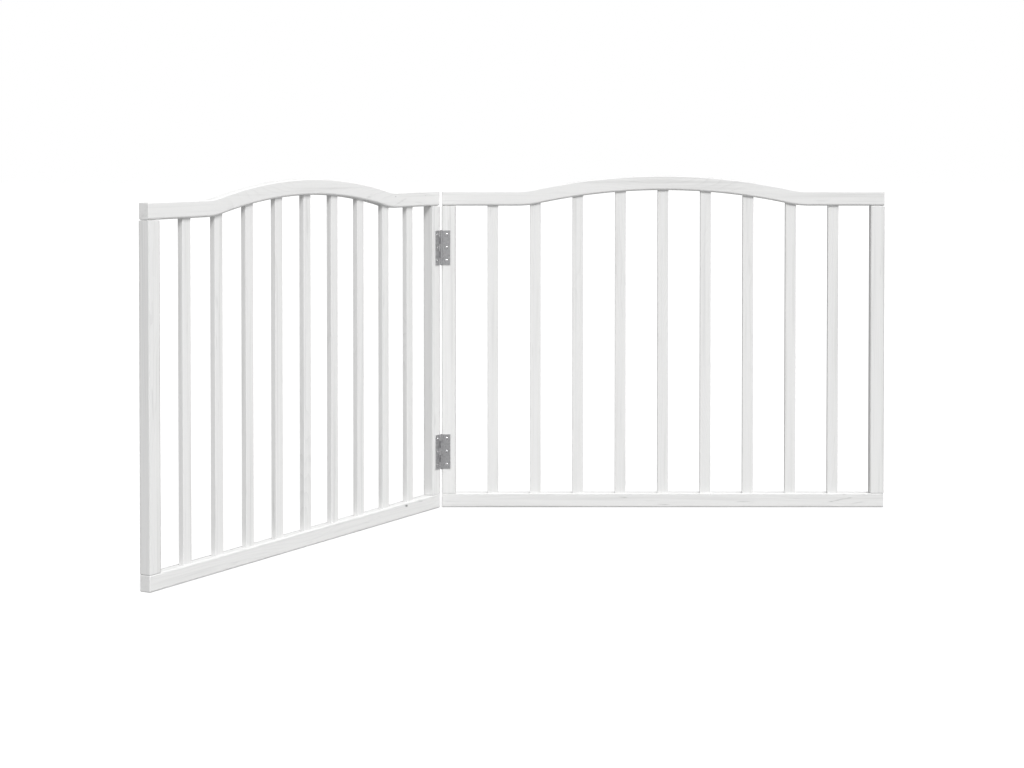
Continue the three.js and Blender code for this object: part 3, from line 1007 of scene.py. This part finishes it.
pin_steel = plated("pin_steel", WIRE, WIRE_DULL, 0.30)
for level in hinge_levels:
    low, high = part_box(f"{level}_hinge_pin")
    half_length = (high.z - low.z) / 2
    dome_radius = (high.x - low.x) / 2
    under_head = hinge_height / 2 + KNUCKLE_GAP
    dome_height = half_length - under_head
    profile = [(PIN_RADIUS, 0.0), (PIN_RADIUS, under_head), (dome_radius, under_head)]
    for step in range(1, DOME_STEPS + 1):
        angle = math.pi / 2 * step / DOME_STEPS
        lift = under_head + dome_height * (DOME_RIM + (1 - DOME_RIM) * math.sin(angle))
        profile.append((dome_radius * math.cos(angle), lift))
    profile = [(radius, -height) for radius, height in profile[:0:-1]] + profile
    wire = lathed(f"{level}_hinge_pin_steel", profile)
    centre = Matrix.Translation((pin.x, pin.y, (low.z + high.z) / 2))
    finish_piece(wire, centre, pin_steel, "right_panel", "pin_steel", f"{level}_hinge_pin")

# ---------- hinge screws ----------
# Twelve countersunk wood screws, three to a leaf, their low domes just proud of the leaves. Zinc
# plated, with a cross recess, a rolled thread and a sharp point. No two recesses stop at the same
# angle.
THREAD_TURNS = 7
THREAD_HEIGHT = 0.00042
THREAD_BELOW_HEAD = 0.0012
THREAD_ABOVE_TIP = 0.0004
CORE_RADIUS = 0.00108
TIP_SLENDER = 2.6  # the tip's length, in core radii
RECESS_WIDTH = 0.00062
RECESS_REACH = 0.0030
RECESS_DEPTH = 0.00085
HEAD_DOME = 0.0008
DRIVEN_TURN = 0.8  # radians either way
BRIGHT_ZINC = (0.92, 0.92, 0.93, 1)
BRIGHT_ZINC_DULL = (0.80, 0.80, 0.81, 1)

screw_set, screw_in, screw_out = new_tree(
    "screw_set",
    "Count:Int, Step, Hinge Step, First:Vector, Head Radius, Shank Radius, Core Radius, Dome, "
    "Length, Thread Turns, Thread Height, Recess Width, Recess Reach, Recess Depth, Seed:Int, "
    "Material:Material",
)


def lowered(shape, depth):
    """Moves a shape of the screw tree down its axis."""
    drop = vector(screw_set, 0.0, 0.0, calc(screw_set, "MULTIPLY", depth, -1.0))
    moved = add(screw_set, "GeometryNodeTransform", {"Geometry": shape, "Translation": drop})
    return moved.outputs[0]


head_depth = calc(screw_set, "SUBTRACT", screw_in["Head Radius"], screw_in["Shank Radius"])
tip_length = calc(screw_set, "MULTIPLY", screw_in["Core Radius"], TIP_SLENDER)
core_length = calc(screw_set, "SUBTRACT", screw_in["Length"], tip_length)
ball = add(screw_set, "GeometryNodeMeshUVSphere", {"Segments": 32, "Rings": 16, "Radius": 1.0})
dome_size = vector(screw_set, screw_in["Head Radius"], screw_in["Head Radius"], screw_in["Dome"])
dome_top = add(screw_set, "GeometryNodeTransform", {"Geometry": ball.outputs[0], "Scale": dome_size})
head = add(
    screw_set, "GeometryNodeMeshCone",
    {"Vertices": 32, "Radius Top": screw_in["Head Radius"], "Radius Bottom": screw_in["Shank Radius"],
     "Depth": head_depth},
)
core = add(
    screw_set, "GeometryNodeMeshCylinder",
    {"Vertices": 24, "Radius": screw_in["Core Radius"], "Depth": core_length},
)
tip = add(
    screw_set, "GeometryNodeMeshCone",
    {"Vertices": 24, "Radius Top": screw_in["Core Radius"], "Radius Bottom": 0.0, "Depth": tip_length},
)
thread_start = calc(screw_set, "ADD", head_depth, THREAD_BELOW_HEAD)
thread_end = calc(screw_set, "SUBTRACT", core_length, THREAD_ABOVE_TIP)
thread_length = calc(screw_set, "SUBTRACT", thread_end, thread_start)
helix = add(
    screw_set, "GeometryNodeCurveSpiral",
    {"Resolution": 20, "Rotations": screw_in["Thread Turns"], "Start Radius": screw_in["Core Radius"],
     "End Radius": screw_in["Core Radius"], "Height": thread_length},
)
ridge = add(
    screw_set, "GeometryNodeCurvePrimitiveCircle",
    {"Resolution": 4, "Radius": screw_in["Thread Height"]}, mode="RADIUS",
)
thread = add(
    screw_set, "GeometryNodeCurveToMesh",
    {"Curve": helix.outputs[0], "Profile Curve": ridge.outputs[0], "Fill Caps": True},
)
thread_drop = calc(screw_set, "ADD", thread_start, thread_length)
body = add(screw_set, "GeometryNodeMeshBoolean", operation="UNION", solver="MANIFOLD")
for shape in (
    dome_top.outputs[0],
    lowered(head.outputs[0], head_depth),
    lowered(core.outputs[0], calc(screw_set, "MULTIPLY", core_length, 0.5)),
    lowered(tip.outputs[0], screw_in["Length"]),
    lowered(thread.outputs[0], thread_drop),
):
    screw_set.links.new(shape, body.inputs["Mesh 2"])
recess_height = calc(screw_set, "MULTIPLY", screw_in["Recess Depth"], 2.0)
recess_size = vector(screw_set, screw_in["Recess Reach"], screw_in["Recess Width"], recess_height)
slot = add(screw_set, "GeometryNodeMeshCube", {"Size": recess_size})
crossing = add(
    screw_set, "GeometryNodeTransform", {"Geometry": slot.outputs[0], "Rotation": (0, 0, math.pi / 2)}
)
recessed = add(screw_set, "GeometryNodeMeshBoolean", operation="DIFFERENCE", solver="MANIFOLD")
screw_set.links.new(body.outputs[0], recessed.inputs["Mesh 1"])
screw_set.links.new(slot.outputs[0], recessed.inputs["Mesh 2"])
screw_set.links.new(crossing.outputs[0], recessed.inputs["Mesh 2"])
driven = add(
    screw_set, "GeometryNodeTransform",
    {"Geometry": recessed.outputs[0], "Rotation": (math.pi / 2, 0, 0)},
)
screw_step_up = vector(screw_set, 0.0, 0.0, screw_in["Step"])
screw_line = add(
    screw_set, "GeometryNodeMeshLine",
    {"Count": screw_in["Count"], "Start Location": screw_in["First"], "Offset": screw_step_up},
    mode="OFFSET",
)
hinge_step_up = vector(screw_set, 0.0, 0.0, screw_in["Hinge Step"])
hinge_line = add(
    screw_set, "GeometryNodeMeshLine", {"Count": 2, "Offset": hinge_step_up}, mode="OFFSET"
)
screw_lines = add(
    screw_set, "GeometryNodeInstanceOnPoints",
    {"Points": hinge_line.outputs[0], "Instance": screw_line.outputs[0]},
)
screw_points = add(screw_set, "GeometryNodeRealizeInstances", {0: screw_lines.outputs[0]})
stopped_at = add(
    screw_set, "FunctionNodeRandomValue",
    {"Min": (0, -DRIVEN_TURN, 0), "Max": (0, DRIVEN_TURN, 0), "Seed": screw_in["Seed"]},
    data_type="FLOAT_VECTOR",
)
screws_set = add(
    screw_set, "GeometryNodeInstanceOnPoints",
    {"Points": screw_points.outputs[0], "Instance": driven.outputs[0],
     "Rotation": stopped_at.outputs[0]},
)
end_tree(screw_set, screws_set.outputs[0], screw_in["Material"], screw_out)

screw_steel = plated("screw_steel", BRIGHT_ZINC, BRIGHT_ZINC_DULL, 0.14)
screw_seeds = {"right": 3, "left": 8}
for side, direction in (("right", 1), ("left", -1)):
    first = (direction * screw_reach, KNUCKLE_RADIUS - LEAF_THICKNESS, screw_middle.z)
    screws = grown(
        f"{side}_hinge_screws", screw_set,
        count=screw_count, step=screw_step, hinge_step=hinge_step, first=first,
        head_radius=head_radius, shank_radius=SHANK_RADIUS, core_radius=CORE_RADIUS,
        dome=HEAD_DOME, length=screw_length, thread_turns=THREAD_TURNS, thread_height=THREAD_HEIGHT,
        recess_width=RECESS_WIDTH, recess_reach=RECESS_REACH, recess_depth=RECESS_DEPTH,
        seed=screw_seeds[side], material=screw_steel,
    )
    finish_piece(
        screws, hinge_places[side], screw_steel, f"{side}_panel", "screw_steel",
        *[f"{level}_hinge_{side}_screw_{i + 1}" for level in hinge_levels for i in range(screw_count)],
    )

# ---------- floor and light ----------
# A plain pale floor that glows a little, so that it stays as white as the backdrop, under a sky
# that is brightest overhead. One broad soft lamp stands in front of the gate and to the right.
FLOOR_SIZE = 60.0
FLOOR_DROP = 0.0003  # below the rails, so that no faces share a plane
FLOOR_COLOR = (0.28, 0.28, 0.28, 1)
FLOOR_GLOW = 0.80  # as seen; it lights the gate only by what it reflects
SKY_LOW = 0.60
SKY_HIGH = 0.20
SKY_TO_RIGHT = 0.42  # how much brighter the sky is on the right, and darker on the left
KEY_STRENGTH = 2.06
KEY_SPREAD = math.radians(24)
KEY_BEARING = math.radians(21)  # to the right of straight ahead
KEY_HEIGHT = math.radians(46)

scene = bpy.context.scene
scene.view_settings.view_transform = "Standard"

floor_shape = bmesh.new()
bmesh.ops.create_grid(floor_shape, x_segments=1, y_segments=1, size=FLOOR_SIZE / 2)
floor = from_bmesh("floor", floor_shape)
floor.data.transform(Matrix.Translation((0, 0, -FLOOR_DROP)))
floor_paint, floor_tree, floor_shader = new_material("floor_paint")
floor_shader.inputs["Base Color"].default_value = FLOOR_COLOR
floor_shader.inputs["Roughness"].default_value = 0.9
floor_shader.inputs["Specular IOR Level"].default_value = 0.1
floor_shader.inputs["Emission Color"].default_value = (1, 1, 1, 1)
floor_seen = add(floor_tree, "ShaderNodeLightPath").outputs["Is Camera Ray"]
floor_tree.links.new(
    calc(floor_tree, "MULTIPLY", floor_seen, FLOOR_GLOW), floor_shader.inputs["Emission Strength"]
)
floor.data.materials.append(floor_paint)

world = bpy.data.worlds.new("studio")
world.use_nodes = True
sky = world.node_tree
sky.nodes.clear()
look = add(sky, "ShaderNodeTexCoord").outputs["Generated"]
look_way = add(sky, "ShaderNodeSeparateXYZ", {0: look}).outputs
dome = add(
    sky, "ShaderNodeMapRange", {"Value": look_way["Z"], "To Min": SKY_LOW, "To Max": SKY_LOW + SKY_HIGH}
).outputs[0]
sideways = calc(sky, "MULTIPLY_ADD", look_way["X"], SKY_TO_RIGHT, 1.0)
sky_seen = add(sky, "ShaderNodeLightPath").outputs["Is Camera Ray"]
sky_strength = calc(sky, "MAXIMUM", calc(sky, "MULTIPLY", dome, sideways), sky_seen)
sky_light = add(sky, "ShaderNodeBackground", {"Color": (1, 1, 1, 1), "Strength": sky_strength})
add(sky, "ShaderNodeOutputWorld", {"Surface": sky_light.outputs[0]})
scene.world = world

key = bpy.data.lights.new("key", "SUN")
key.energy = KEY_STRENGTH
key.angle = KEY_SPREAD
key_lamp = bpy.data.objects.new("key", key)
key_lamp.rotation_mode = "QUATERNION"
key_way = Vector(
    (-math.sin(KEY_BEARING) * math.cos(KEY_HEIGHT),
     math.cos(KEY_BEARING) * math.cos(KEY_HEIGHT),
     -math.sin(KEY_HEIGHT))
)
key_lamp.rotation_quaternion = key_way.to_track_quat("-Z", "Y")
scene.collection.objects.link(key_lamp)

import json
